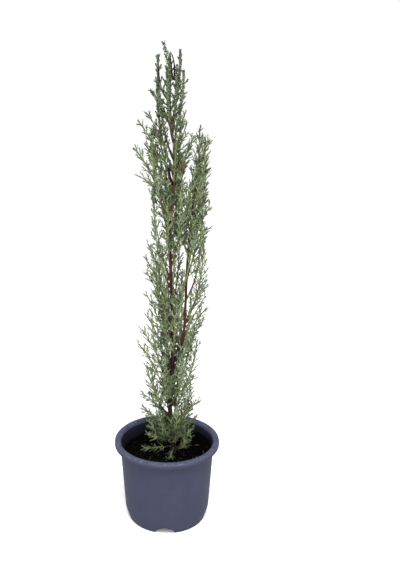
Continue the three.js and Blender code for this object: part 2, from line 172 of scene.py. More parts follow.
# Crown outline: height, then how far the foliage reaches left and right of the pot's axis
CROWN_OUTLINE = [
    (0, 30, 26), (40, 24, 31), (65, 28, 36), (90, 25, 31), (135, 31, 37), (165, 24, 42),
    (200, 24, 46), (278, 15, 44), (307, 20, 41), (345, 34, 41), (361, 29, 42), (383, 26, 22),
    (399, 17, 18), (443, 11, 15), (452, 6, -1),
]
CROWN_DEPTH_SHARE = 0.92

# Boughs: how far each climbs to the tip of its foliage, by the height where it leaves its stem
LEADER_BOUGHS = 20
LEADER_FIRST_RISE = 2
LEADER_LAST_RISE = 383
LEADER_FIRST_TURN = 326
RISE_CROWDING = 1.45
SECOND_BOUGHS = 6
SECOND_FIRST_RISE = 133
SECOND_LAST_RISE = 265
SECOND_FAN = 105
FORK_SHADOW = 35
SHADOW_FROM = 82
CLIMB_BY_RISE = [(2, 24), (25, 50), (70, 80), (195, 100), (325, 88), (383, 58)]
BOUGH_LEAVES_HIGH = 0.22
BOUGH_RADIUS = (1.25, 0.5)
BOUGH_SIDES = 8
BOUGH_POINTS = 40

# Plumes. A habit is a plume's share of the way to the crown's outline, how soon it spreads, how upright
# its tip is and how far the tip leans out. On the leader, finer plumes may grow at the steps between two
# plumes of the solids, less often towards the top
Habit = namedtuple("Habit", "share spread upright lean")
SOLID_HABIT = Habit(0.8, 0.72, 0.45, 0)
APART_HABIT = Habit(1, 0.12, 0.25, 0.5)
UPRIGHT_HABIT = Habit(1, 0.8, 0.6, 0)
UPRIGHT_FROM = 415
LEADER_FINER = 3
FINER_HABITS = Habit((0.5, 1.0), (0.4, 0.72), (0.2, 0.45), (0, 0.3))
FINER_BY_RISE = [(0, 1), (50, 1), (85, 0.75), (225, 0.7), (265, 0.5), (345, 0.25), (383, 0.2)]
BARE_SHARE = 0.2
LEAFLESS_BY_BARE = 1.5
WOODY_SHARE = 0.5
FEWEST_WOODY_POINTS = 3

# Plumes that stand apart in the view: the height where each leaves its stem, and its tip's place
APART = {
    "leader": (
        (396, (-9, -3, 439)), (386, (13, -2, 444)), (376, (16.5, -4, 424)),
        (362, (-16.5, -5, 406)), (345, (17, 2, 402)), (322, (19, -4, 386)),
        (318, (-20.5, -6, 384)), (302, (20, -6, 374)), (296, (-28.5, -8, 376)),
        (300, (-14, -8, 369)), (284, (-22, -9, 353)), (290, (27, -10, 360)),
        (276, (23, -10, 350)), (268, (-33, -4, 348)), (288, (-31, -8, 322)),
        (150, (-24, -5, 234)), (128, (-22, 6, 214)), (100, (43, 4, 205)),
        (140, (-19, -4, 246)), (104, (-22, -6, 192)), (92, (-23.5, -3, 169)),
        (92, (42, -10, 178)), (84, (41, -6, 190)), (76, (-30, -6, 155)),
        (66, (40, -4, 163)), (36, (28, -6, 94)), (58, (2, -20, 98)),
        (62, (9, -17, 104)), (54, (-30, -10, 136)), (30, (-27, -4, 75)),
        (20, (35, -6, 66)), (18, (-27, -8, 58)), (12, (31, -8, 47)),
        (7, (-27, -14, 11)), (5, (3, -24, 5)), (10, (-20, -16, 29)),
        (16, (5, -15, 42)), (10, (-2, -17, 32)), (8, (10, -16, 26)),
        (14, (24, -12, 29)),
    ),
    "second": (
        (290, (36, -8, 361)), (300, (42, -6, 356)), (284, (42, -8, 340)),
        (266, (41, -8, 324)), (246, (42, -4, 303)), (228, (44, -6, 287)),
        (206, (42, -6, 266)),
    ),
}

# Sprigs on the stems themselves: the heights between which they start, their spacing, climb and spread
SPRIG_SPANS = {"leader": ((6, 24), (50, 84), (124, 162), (236, 300)), "second": ((226, 296),)}
SPRIG_STEP = 5
SPRIG_CLIMB = (20, 34)
SPRIG_SPREAD = (6, 11)
SPRIG_HABIT = Habit(1, 0.3, 0.4, 0)

# Gaps in the crown that the stems show through in the view: from one height on the stem to another,
# and how wide to each side
GAPS = {
    "leader": ((35, 60, 1.6), (96, 120, 3), (190, 240, 2.2), (306, 325, 3), (350, 388, 2.2)),
    "second": ((134, 232, 2.2),),
}

# Shoots on a plume and twiglets on a shoot: each level's spacing, and its length, slant and radius
# from the foot of its axis to the tip. Shoots are shorter at the crown's foot and top, and at the top they
# slant more and are thicker
Level = namedtuple("Level", "step length slant radius")
LEVELS = (
    Level(step=2.5, length=(18, 8), slant=(41, 28), radius=(0.6, 0.52)),
    Level(step=2.4, length=(4.8, 2.4), slant=(37, 30), radius=(0.52, 0.46)),
)
SHOOT_SCALE = [(0, 0.75), (25, 0.9), (60, 1), (330, 1), (395, 0.6), (425, 0.5), (445, 0.3)]
SLANT_SCALE = [(0, 1), (330, 1), (395, 1.15)]
RADIUS_SCALE = [(0, 1), (340, 1), (400, 1.5)]
LENGTH_SPREAD = (0.6, 1.15)
SLANT_SPREAD = (0.8, 1.2)
TURN_DRIFT = 50
PLACE_DRIFT = 0.5
SHORTER_TRIES = (1, 0.7)
SHORTEST_TWIG = 2
TWIG_LIFT = 0.2
TWIG_START = 0.12
TWIG_POINTS = 6
AXIS_STEP = 0.5
KEY_STEP = 40
SPRAY_MARGIN = 1.8
APART_MARGIN = 4
STEM_CLEARANCE = 0.8
SOIL_CLEARANCE = 1.5
AXIS_RADIUS = (1.0, 0.72)
TOP_RADIUS = (1.4, 1.5)
LEADER_TIP_RADIUS = (2.2, 1.8)
LEADER_TIP_BOW = 3.5
TOP_POINTS = 20

# The share of the shoots that grow, by height
FULLNESS = [
    (0, 1), (60, 1), (115, 0.9), (150, 0.74), (180, 0.7), (230, 0.76), (265, 0.76), (290, 0.74),
    (312, 0.7), (340, 0.78), (378, 0.74), (400, 0.66), (452, 0.66),
]

# Scale leaves. A leaf's corners are its root, two sides, back and tip, as shares of its length along the
# twig and of the twig's radius outward and sideways
LEAF_STEP = 1.9
LEAF_LENGTH = 2.8
LEAF_CORNERS = ((-0.2, 0.1, 0), (0.3, 0.55, 0.95), (0.3, 0.55, -0.95), (0.35, 1.15, 0), (0.9, 0.75, 0))
LEAF_FACES = ((0, 1, 3), (0, 3, 2), (1, 4, 3), (3, 4, 2), (0, 2, 1), (1, 2, 4))
CORE_SHARE = 0.7
CORE_TIP_RADIUS = 0.15
CORE_SIDES = 3

# Kinds of foliage from the crown's inside out, dark to pale: sprays deep in the crown take darker kinds as
# painted shade. Each kind has a plain colour, and how many sprays take it. Heights have darker kinds where
# the draw of kinds is lowered, and paler ones where it is raised. A spray's tip is some steps darker, and
# a stray twig takes a kind of its own
FOLIAGE = {
    "blue_green": ((0.041, 0.06, 0.035), 0.13),
    "deep_green": ((0.043, 0.064, 0.021), 0.21),
    "sage": ((0.135, 0.177, 0.083), 0.3),
    "fresh_green": ((0.185, 0.24, 0.08), 0.12),
    "grey_green": ((0.26, 0.315, 0.19), 0.24),
}
OTHER_KINDS = {
    "dry_brown": (0.13, 0.05, 0.036),
    "axis": (0.15, 0.18, 0.065),
    "top_axis": (0.098, 0.13, 0.068),
}
DRY_SHARE = 0.03
DRY_WITHIN = 0.65
AXIS_TIP_KIND = "blue_green"
TIP_SHARE = 0.45
AXIS_TIP_SHARE = 0.2
TIP_STEPS = 2
# How strongly the painted shade deep in the crown pulls the draw of kinds towards darker ones
INNER_SHADE_SHARE = 0.42
STRAY_KINDS = 0.35
PALER_BY_HEIGHT = [
    (0, -0.2), (45, 0.05), (80, 0.28), (180, 0.28), (240, 0.18), (320, 0.14), (370, -0.02),
    (410, -0.18),
]
LEAF_TINTS = (0.88, 1.14)
TOP_FROM = 395

# Dead shoots by the leader's tip and on the trunk: the points that bend each
DEAD_SHOOTS = (
    ((6.8, -2, 416), (8.4, -4, 426), (7.4, -5, 438), (3, -4, 443)),
    ((6.2, -2, 416), (4.4, -4, 422), (4.6, -5, 432), (3.2, -4, 439)),
    ((-7.2, -5, 414), (-9, -5, 421), (-8.6, -5, 429)),
    ((6.8, 0, 310), (4, -16, 316), (1.2, -23, 322), (0.8, -24, 336)),
    ((6.8, 0, 311), (6, -15, 315), (2.6, -22, 322), (2, -23, 335)),
)
DEAD_RADIUS = (0.95, 0.5)
DEAD_POINTS = 30
DEAD_TONES = ((0.005, 0.003, 0.003), (0.018, 0.008, 0.008))

# Bark relief: how far its ridges stand out on each limb, their size and stretch, and the flakes in them
TRUNK_RELIEF = 0.45
SECOND_RELIEF = 0.3
BOUGH_RELIEF = 0.2
DEAD_RELIEF = 0.5
RIDGE_SIZE = 1.1
RIDGE_STRETCH = (1, 1, 0.22)
RIDGE_SEED = 7
FLAKE_SIZE = 2.5
FLAKE_SHARE = 0.6
FLAKE_SEED = 8

# Bark colour by height over the compost. The very pale band about 316 mm up is a painted highlight on the
# tan bark
BARK_TONES = [
    (0, (0.022, 0.013, 0.01)), (85, (0.04, 0.02, 0.015)), (118, (0.007, 0.0045, 0.004)),
    (150, (0.08, 0.03, 0.02)), (205, (0.042, 0.012, 0.013)), (282, (0.06, 0.018, 0.017)),
    (302, (0.2, 0.1, 0.07)), (316, (0.8, 0.54, 0.42)), (328, (0.22, 0.11, 0.07)),
    (350, (0.35, 0.185, 0.115)), (372, (0.12, 0.075, 0.035)), (400, (0.07, 0.07, 0.03)),
]
BOUGH_TONES = [
    (0, (0.03, 0.018, 0.014)), (110, (0.03, 0.015, 0.012)), (200, (0.1, 0.036, 0.025)),
    (300, (0.1, 0.05, 0.03)), (345, (0.05, 0.045, 0.022)), (400, (0.04, 0.05, 0.024)),
]

# Surfaces: shine, roughness in the hollows and on the crests of the grain, the grain's size, depth and
# stretch, and the size of the patches of tone where there are any
Surface = namedtuple("Surface", "shine roughness grain depth patch stretch", defaults=(None, (1, 1, 1)))
EARTH_SURFACE = Surface(shine=0.01, roughness=(1, 0.9), grain=1.2, depth=0.5, patch=3)
LITTER_SURFACE = Surface(shine=0.03, roughness=(1, 0.85), grain=0.5, depth=0.1, patch=3)
STRAW_SURFACE = Surface(shine=0.05, roughness=(0.95, 0.8), grain=0.5, depth=0.05, patch=5)
DEAD_SURFACE = Surface(shine=0.1, roughness=(0.9, 0.7), grain=0.8, depth=0.2, patch=3)
LEAF_SURFACE = Surface(shine=0.3, roughness=(0.7, 0.5), grain=0.6, depth=0.05, patch=4)
FLOOR_SURFACE = Surface(shine=0.1, roughness=(0.95, 0.85), grain=30, depth=0.01, patch=400)
PLASTIC_SURFACE = Surface(shine=0.08, roughness=(0.75, 0.6), grain=0.8, depth=0.06, patch=16)
INSIDE_SHADE_SURFACE = Surface(shine=0.05, roughness=(0.95, 0.75), grain=0.8, depth=0.12)
BARK_SURFACE = Surface(shine=0.25, roughness=(0.9, 0.65), grain=0.9, depth=0.25, stretch=(1, 1, 4))
EARTH_TONES = ((0.0004, 0.0004, 0.0004), (0.0014, 0.0012, 0.001))
FLOOR_TONES = ((0.94, 0.94, 0.94), (0.96, 0.96, 0.96))
BARK_WAVER = 14
BARK_SHADE = 0.55
NOISE_SPAN = (0.3, 0.7)
PATCH_DETAIL = 4
GRAIN_DETAIL = 5
WAVER_SIZE = 6

# Plastic of the pot: faint patches, scuffs round it, a painted highlight that leaves the rim paler than
# the body, and spots on the rim's crest: pale ones of painted highlight and pale specks, dark ones of dirt
PLASTIC_TONES = ((0.045, 0.05, 0.085), (0.05, 0.055, 0.092))
SCUFF_SIZE = 2
SCUFF_STRETCH = (8, 8, 1)
SCUFF_DETAIL = 3
SCUFF_SHADE = 0.92
BODY_UNDER_PAINTED_HIGHLIGHT = 0.72
RIM_WAVER = 0.4
CREST_SPAN = (0.4, 0.8)
Spots = namedtuple("Spots", "colour size detail most span")
RIM_DIRT_AND_HIGHLIGHT_SPOTS = (
    Spots(colour=(0.13, 0.13, 0.19), size=2.2, detail=5, most=0.8, span=(0.55, 0.7)),
    Spots(colour=(0.028, 0.024, 0.024), size=5, detail=6, most=0.7, span=(0.54, 0.66)),
)
# Painted shade inside the pot, from dark at the compost to paler at the rim
INSIDE_SHADE_TONES = ((0.002, 0.002, 0.003), (0.016, 0.018, 0.031))
INSIDE_SHADE_WAVER = 3

# Lights: place and size in metres, and watts
LIGHTS = {
    "front": ((0.05, -1.25, 0.85), 0.5, 7),
    "top": ((0.06, -0.85, 1.65), 0.5, 32),
}
LIGHTS_AIM = (0, 0, 0.3)
WORLD_LIGHT = 1.08
FLOOR_SIZE = 40

# Camera, from the photo's frame in pixels, with its place in metres and its dip in degrees
FRAME_WIDTH = 400
FRAME_HEIGHT = 570
FOCAL_PIXELS = 776
POT_AXIS_COLUMN = 167
CAMERA_PLACE = (0, -0.8, 0.53)
CAMERA_DIP = 17.3
SENSOR = 36

# Keys that keep the draws for different things apart
FIRST_DRAW_KEY = 30
DRAW_NAMES = (
    "turn slant length place kind phase drift grows share spread "
    "upright lean axis stray finer dry climb sprig"
)
DRAW = {name: FIRST_DRAW_KEY + i for i, name in enumerate(DRAW_NAMES.split())}


def chance(*keys):
    """A repeatable number from 0 to 1 that depends only on the whole numbers given."""
    h = SEED
    for key in keys:
        h = ((h ^ ((key + HASH_ADD) & MASK)) * HASH_STIR) & MASK
        h ^= h >> SHIFT
    h = (h * HASH_LAST) & MASK
    return (h ^ (h >> LAST_SHIFT)) / (MASK + 1)


def lerp(a, b, t):
    return a + (b - a) * t


def between(pair, *keys):
    return lerp(*pair, chance(*keys))


def eased(t):
    t = np.clip(t, 0, 1)
    return t * t * (3 - 2 * t)


def along(stations, height):
    """The values of a table of stations at a height, eased from one station to the next."""
    if height <= stations[0][0]:
        return stations[0][1:]
    for low, high in zip(stations, stations[1:]):
        if height <= high[0]:
            share = eased((height - low[0]) / (high[0] - low[0]))
            return tuple(lerp(a, b, share) for a, b in zip(low[1:], high[1:]))
    return stations[-1][1:]


def heading(turn):
    return np.array([math.cos(math.radians(turn)), math.sin(math.radians(turn)), 0.0])


def unit(vectors):
    return vectors / np.linalg.norm(vectors, axis=-1, keepdims=True)


def crosswise(tangents):
    """Two directions across each tangent, square to it and to each other."""
    side = np.where(np.abs(tangents[..., :1]) < MOSTLY_X, [1.0, 0, 0], [0, 1.0, 0])
    across = unit(side - (tangents * side).sum(-1, keepdims=True) * tangents)
    return across, np.cross(tangents, across)


def bezier(controls, count):
    t = np.linspace(0, 1, count)[:, None]
    layer = [np.asarray(control, float) for control in controls]
    while len(layer) > 1:
        layer = [lerp(a, b, t) for a, b in zip(layer, layer[1:])]
    return layer[0]


def respaced(line, step):
    """The same line with points about a step apart, and its length."""
    reach = np.concatenate([[0], np.cumsum(np.linalg.norm(np.diff(line, axis=0), axis=1))])
    marks = np.linspace(0, reach[-1], max(2, round(reach[-1] / step) + 1))
    return np.stack([np.interp(marks, reach, line[:, axis]) for axis in range(3)], 1), reach[-1]


def lattice_noise(points, size, seed):
    """Smooth noise from 0 to 1 with features of about the size given."""
    spots = np.asarray(points, float) / size + seed * LATTICE_SHIFT
    cell = np.floor(spots).astype(np.int64)
    part = eased(spots - cell)
    total = np.zeros(len(spots))
    for corner in np.ndindex(2, 2, 2):
        h = np.bitwise_xor.reduce((cell + corner) * LATTICE_PRIMES, axis=1) ^ (seed * LATTICE_SEED_PRIME)
        h = ((h ^ (h >> SHIFT)) * LATTICE_STIR) & MASK
        share = np.where(corner, part, 1 - part).prod(1)
        total += share * ((h ^ (h >> LAST_SHIFT)) & LOW_BITS) / LOW_BITS
    return total


# Stems


def leader_at(height):
    x, y = along(LEADER_SWAY, height)
    return np.array([x, y, COMPOST_TOP + height])


def second_at(height):
    above = height - FORK_HEIGHT
    bend = 1 - math.exp(-above / FORK_BEND)
    aside = FORK_SPREAD * bend + FORK_DRIFT * above
    return leader_at(height) + np.array([aside, FORK_FORWARD * bend, 0])


def trunk_radius(height):
    taper = lerp(TRUNK_FOOT_RADIUS, TRUNK_TOP_RADIUS, height / TRUNK_TOP)
    return taper + ROOT_FLARE * math.exp(-max(0, height) / ROOT_FLARE_HEIGHT)


def second_radius(height):
    share = (height - FORK_HEIGHT) / (SECOND_TOP - FORK_HEIGHT)
    return lerp(SECOND_FOOT_RADIUS, SECOND_TOP_RADIUS, share)


Stem = namedtuple("Stem", "at radius low high")
STEMS = {
    "leader": Stem(leader_at, trunk_radius, 0, TRUNK_TOP),
    "second": Stem(second_at, second_radius, FORK_HEIGHT, SECOND_TOP),
}


# Crown


def crown_section(height):
    left, right = along(CROWN_OUTLINE, height)
    half = (left + right) / 2
    return (right - left) / 2, half, half * CROWN_DEPTH_SHARE


def outwardness(spot, margin=0):
    """How far out a place is in the crown: 0 in the middle and 1 on the outline."""
    x, half, depth = crown_section(spot[2] - COMPOST_TOP)
    return math.hypot((spot[0] - x) / (half + margin), spot[1] / (depth + margin))


def reach_to_outline(spot, direction):
    """The distance from a place to the crown's outline in one direction."""
    x, half, depth = crown_section(spot[2] - COMPOST_TOP)
    start = np.array([(spot[0] - x) / half, spot[1] / depth])
    toward = np.array([direction[0] / half, direction[1] / depth])
    a, b = toward.dot(toward), start.dot(toward)
    return (-b + math.sqrt(max(0, b * b - a * (start.dot(start) - 1)))) / a


def bank(x, y):
    """How far the compost is banked up against the wall."""
    out = heading(BANK_TURN)
    wall = wall_radius(COMPOST_TOP) - WALL
    away = x * out[0] + y * out[1] - BANK_FROM
    return BANK_HEIGHT * eased(away / (wall - BANK_FROM))


def clear_of_stems(spot):
    height = spot[2] - COMPOST_TOP
    for stem in STEMS.values():
        if stem.low <= height <= stem.high:
            gap = stem.at(height) - spot
            if math.hypot(*gap[:2]) < stem.radius(height) + STEM_CLEARANCE:
                return False
    return True


def in_gap(spot):
    """Whether a place hides a stem in the view at a height where the stem shows."""
    height = spot[2] - COMPOST_TOP
    _, camera_y, camera_z = np.array(CAMERA_PLACE) / MM
    for name, stem in STEMS.items():
        in_front = stem.at(height)[1] - spot[1]
        seen_at = height - in_front * (camera_z - spot[2]) / (spot[1] - camera_y)
        for low, high, half in GAPS[name]:
            if in_front > 0 and low < seen_at < high and abs(spot[0] - stem.at(seen_at)[0]) < half:
                return True
    return False


def fits(spot, margin):
    lowest = COMPOST_TOP + bank(spot[0], spot[1]) + SOIL_CLEARANCE
    inside = lowest < spot[2] < COMPOST_TOP + LEADER_TOP and outwardness(spot, margin) < 1
    return inside and clear_of_stems(spot)


# Plumes


def bough_line(start, tip, habit):
    """A bough with its foliage's axis: it leaves its stem outward, then turns up towards its tip."""
    outward = (tip - start) * (1, 1, 0)
    climb = tip[2] - start[2]
    leaves = start + outward * habit.spread + UP * BOUGH_LEAVES_HIGH * climb
    turns_up = tip - UP * habit.upright * climb - outward * habit.lean
    return bezier([start, leaves, turns_up, tip], BOUGH_POINTS)


def plume_line(stem_at, rise, turn, habit):
    (climb,) = along(CLIMB_BY_RISE, rise)
    beside, outward = stem_at(rise + climb), heading(turn)
    tip = beside + outward * habit.share * reach_to_outline(beside, outward)
    return bough_line(stem_at(rise), tip, habit)


def leader_turn(i, rise):
    """Boughs that would run into the second leader are turned out of its way."""
    turn = (LEADER_FIRST_TURN + i * GOLDEN_TURN) % 360
    shaded = SHADOW_FROM < rise < SECOND_TOP
    return FORK_SHADOW + turn * (360 - 2 * FORK_SHADOW) / 360 if shaded else turn


def finer_habit(key):
    return Habit(*(between(span, key, DRAW[name]) for name, span in FINER_HABITS._asdict().items()))


def leader_plumes():
    """The lines of the plumes on the leader: those of the solids, and finer ones between them."""
    lines = []
    for k in range((LEADER_BOUGHS - 1) * LEADER_FINER + 1):
        step = k / LEADER_FINER
        share = (step / (LEADER_BOUGHS - 1)) ** RISE_CROWDING
        rise = lerp(LEADER_FIRST_RISE, LEADER_LAST_RISE, share)
        (grows,) = along(FINER_BY_RISE, rise)
        in_solids = k % LEADER_FINER == 0
        if in_solids or chance(k, DRAW["finer"]) < grows:
            habit = SOLID_HABIT if in_solids else finer_habit(k)
            lines.append(plume_line(leader_at, rise, leader_turn(step, rise), habit))
    return lines


def second_plumes():
    """The lines of the plumes on the second leader, fanned out on the side away from the trunk."""
    lines = []
    for i in range(SECOND_BOUGHS):
        rise = lerp(SECOND_FIRST_RISE, SECOND_LAST_RISE, i / (SECOND_BOUGHS - 1))
        turn = (i * GOLDEN_TURN) % (2 * SECOND_FAN) - SECOND_FAN
        lines.append(plume_line(second_at, rise, turn, SOLID_HABIT))
    return lines


def apart_plumes():
    """The lines of the plumes that stand apart in the view."""
    lines = []
    for name, stem in STEMS.items():
        for rise, (x, y, height) in APART[name]:
            habit = UPRIGHT_HABIT if height > UPRIGHT_FROM else APART_HABIT
            lines.append(bough_line(stem.at(rise), np.array([x, y, COMPOST_TOP + height]), habit))
    return lines


def sprigs():
    """The lines of the sprigs that grow round the stems themselves."""
    lines = []
    for name, stem in STEMS.items():
        rises = [np.arange(low, high, SPRIG_STEP) for low, high in SPRIG_SPANS[name]]
        for rise in np.concatenate(rises):
            n = len(lines)
            beside = stem.at(rise + between(SPRIG_CLIMB, n, DRAW["climb"]))
            tip = beside + heading(n * GOLDEN_TURN) * between(SPRIG_SPREAD, n, DRAW["sprig"])
            lines.append(bough_line(stem.at(rise), tip, SPRIG_HABIT))
    return lines


def top_plumes():
    """The lines of the plumes that carry the two stems on to their tips, the leader's bowed right."""
    shares = np.linspace(0, 1, TOP_POINTS)
    leader = np.array([leader_at(lerp(TRUNK_TOP, LEADER_TOP, t)) for t in shares])
    leader[:, 0] += LEADER_TIP_BOW * np.sin(math.pi * shares)
    return leader, np.array([second_at(lerp(SECOND_TOP, SECOND_TIP, t)) for t in shares])


def spray_kind(spot, key):
    """Sprays deep in the crown mostly take darker kinds as painted shade, and those on its outside paler
    ones.
    """
    out = outwardness(spot)
    if out < DRY_WITHIN and chance(key, DRAW["dry"]) < DRY_SHARE:
        return "dry_brown"
    (paler,) = along(PALER_BY_HEIGHT, spot[2] - COMPOST_TOP)
    draw = lerp(chance(key, DRAW["kind"]), min(1, out), INNER_SHADE_SHARE) + paler
    for kind, (_, often) in FOLIAGE.items():
        draw -= often
        if draw < 0:
            return kind
    return kind


def darker(kind):
    """A kind some steps before one in the order from dark to pale, for the tips of sprays."""
    kinds = list(FOLIAGE)
    return kinds[max(0, kinds.index(kind) - TIP_STEPS)] if kind in kinds else kind


def add_twig(twigs, twig, kind, tip_kind, body):
    """Adds a twig to those of its kind, and its tip to those of another kind."""
    line, radii, phase = twig
    body = body if len(line) - body > 1 else len(line)
    for part, part_kind in ((slice(0, body), kind), (slice(body, None), tip_kind)):
        if len(line[part]) > 1:
            twigs[part_kind].append((line[part], radii[part], phase))


def twig_line(root, tangent, turn, slant, length):
    """A twig that leaves an axis at a slant and lifts towards its tip."""
    across, other = crosswise(tangent)
    turn, slant = math.radians(turn), math.radians(slant)
    outward = math.cos(turn) * across + math.sin(turn) * other
    away = math.cos(slant) * tangent + math.sin(slant) * outward
    middle = root + away * length / 2
    return bezier([root, middle, middle + unit(away + TWIG_LIFT * UP) * length / 2], TWIG_POINTS)


def twig_that_fits(root, tangent, turn, slant, length, margin):
    """The longest twig tried that keeps to the crown and hides no stem, or None."""
    for share in SHORTER_TRIES:
        twig = twig_line(root, tangent, turn, slant, length * share)
        hides_stem = in_gap(twig[len(twig) // 2]) or in_gap(twig[-1])
        if length * share >= SHORTEST_TWIG and fits(twig[-1], margin) and not hides_stem:
            return twig
    return None


def grow_shoots(twigs, line, key, margin, depth=0, kind=None, start=0.0):
    """Adds the shoots along an axis, and the finer ones along each, to the twigs of each kind."""
    level = LEVELS[depth]
    spots, length = respaced(line, AXIS_STEP)
    tangents = unit(np.gradient(spots, axis=0))
    count = int(length * (1 - start) / level.step)
    first_turn = 360 * chance(key, DRAW["turn"])
    for n in range(count):
        twig_key = key * KEY_STEP + n + 1
        place = n + 0.5 + PLACE_DRIFT * chance(twig_key, DRAW["place"])
        t = lerp(start, 1, place / (count + 0.5))
        at = int(t * (len(spots) - 1))
        height = spots[at][2] - COMPOST_TOP
        (grows,), (longer,) = along(FULLNESS, height), along(SHOOT_SCALE, height)
        (leaning,), (thicker,) = along(SLANT_SCALE, height), along(RADIUS_SCALE, height)
        if depth == 0 and chance(twig_key, DRAW["grows"]) > grows:
            continue
        turn = first_turn + n * GOLDEN_TURN + TURN_DRIFT * (chance(twig_key, DRAW["drift"]) - 0.5)
        slant = leaning * lerp(*level.slant, t) * between(SLANT_SPREAD, twig_key, DRAW["slant"])
        full = longer * lerp(*level.length, t) * between(LENGTH_SPREAD, twig_key, DRAW["length"])
        twig = twig_that_fits(spots[at], tangents[at], turn, slant, full, margin)
        if twig is None:
            continue
        stray = chance(twig_key, DRAW["stray"]) < STRAY_KINDS
        twig_kind = spray_kind(twig[-1], twig_key) if stray or not kind else kind
        leafy, twig_length = respaced(twig, LEAF_STEP)
        radii = thicker * np.linspace(*level.radius, len(leafy))
        phase = math.tau * chance(twig_key, DRAW["phase"])
        at_tip = depth > 0 and t > 1 - TIP_SHARE
        body = 0 if at_tip else round((1 - TIP_SHARE) * len(leafy))
        add_twig(twigs, (leafy, radii, phase), twig_kind, darker(twig_kind), body)
        if depth + 1 < len(LEVELS) and twig_length > LEVELS[depth + 1].step:
            grow_shoots(twigs, twig, twig_key, margin, depth + 1, twig_kind, TWIG_START)


# Meshes


def placed(name, data):
    """A new object in the scene."""
    thing = bpy.data.objects.new(name, data)
    bpy.context.scene.collection.objects.link(thing)
    return thing


def piece(name, mesh_parts, materials, nodes=()):
    """A smooth piece that rides on the plant, from its vertices and its arrays of faces."""
    vertices, faces = mesh_parts
    mesh = bpy.data.meshes.new(name)
    corners = [face for part in faces for face in part.tolist()]
    mesh.from_pydata(vertices * MM, [], corners, shade_flat=False)
    for material in materials:
        mesh.materials.append(material)
    thing = placed(name, mesh)
    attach(thing, "root")
    if nodes:
        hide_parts(*nodes)
    return thing


def joined(parts):
    """Many small meshes as one: their vertices, and their faces sorted by their number of corners."""
    vertices, by_size, count = [], defaultdict(list), 0
    for points, faces in parts:
        vertices.append(points)
        for part in faces:
            by_size[part.shape[1]].append(part + count)
        count += len(points)
    return np.concatenate(vertices), [np.concatenate(same) for same in by_size.values()]


def capped(rings, foot, top):
    """A closed mesh over rings of points, one after another, with a point in the middle of each end."""
    count, sides = rings.shape[:2]
    row, col = np.meshgrid(np.arange(count - 1), np.arange(sides), indexing="ij")
    here, beside = (row * sides + col).ravel(), (row * sides + (col + 1) % sides).ravel()
    quads = np.stack([beside, beside + sides, here + sides, here], 1)
    ring, after, last = here[:sides], beside[:sides], (count - 1) * sides
    middle = np.full(sides, count * sides)
    caps = [np.stack([after, ring, middle], 1), np.stack([ring + last, after + last, middle + 1], 1)]
    return np.concatenate([rings.reshape(-1, 3), [foot, top]]), [quads, np.concatenate(caps)]


def tube(line, radii, sides, relief=None):
    """A closed tube along a line. Relief gives how far each of its points stands out of the round."""
    across, other = crosswise(unit(np.gradient(line, axis=0)))
    angles = np.arange(sides) * math.tau / sides
    around = np.cos(angles)[:, None] * across[:, None] + np.sin(angles)[:, None] * other[:, None]
    rings = line[:, None] + around * np.asarray(radii)[:, None, None]
    if relief:
        rings = rings + around * relief(rings.reshape(-1, 3)).reshape(len(line), sides, 1)
    return capped(rings, line[0], line[-1])


def revolved(turns, profile_at):
    """A closed solid of revolution whose section may change with the turn. Its ends lie on the axis."""
    sections = np.array([profile_at(turn) for turn in turns])
    cos, sin = np.cos(np.radians(turns))[:, None], np.sin(np.radians(turns))[:, None]
    radii, heights = sections[..., 0], sections[..., 1]
    rings = np.stack([radii * cos, radii * sin, heights], 2).transpose(1, 0, 2)
    return capped(rings[1:-1], rings[0, 0], rings[-1, 0])


def leaves_on(twigs):
    """Scale leaves in crossed pairs on thin three-sided cores, for many twigs at once."""
    lines = np.concatenate([line for line, _, _ in twigs])
    radii = np.concatenate([radius for _, radius, _ in twigs])[:, None]
    tangents = unit(np.concatenate([np.gradient(line, axis=0) for line, _, _ in twigs]))
    quarters = [phase + np.arange(len(line)) % 2 * math.pi / 2 for line, _, phase in twigs]
    turns = np.concatenate(quarters)[:, None]
    across, other = crosswise(tangents)
    length = LEAF_LENGTH * tangents
    parts = []
    for side in (1, -1):
        outward = side * (np.cos(turns) * across + np.sin(turns) * other)
        reach, width = radii * outward, radii * np.cross(tangents, outward)
        corners = [lines + a * length + b * reach + c * width for a, b, c in LEAF_CORNERS]
        faces = (np.arange(len(lines)) * len(corners))[:, None, None] + LEAF_FACES
        parts.append((np.stack(corners, 1).reshape(-1, 3), [faces.reshape(-1, 3)]))
    for line, radius, _ in twigs:
        core = line[np.linspace(0, len(line) - 1, max(2, len(line) // 2)).astype(int)]
        taper = np.linspace(CORE_SHARE * radius[0], CORE_TIP_RADIUS, len(core))
        parts.append(tube(core, taper, CORE_SIDES))
    return joined(parts)


# Materials


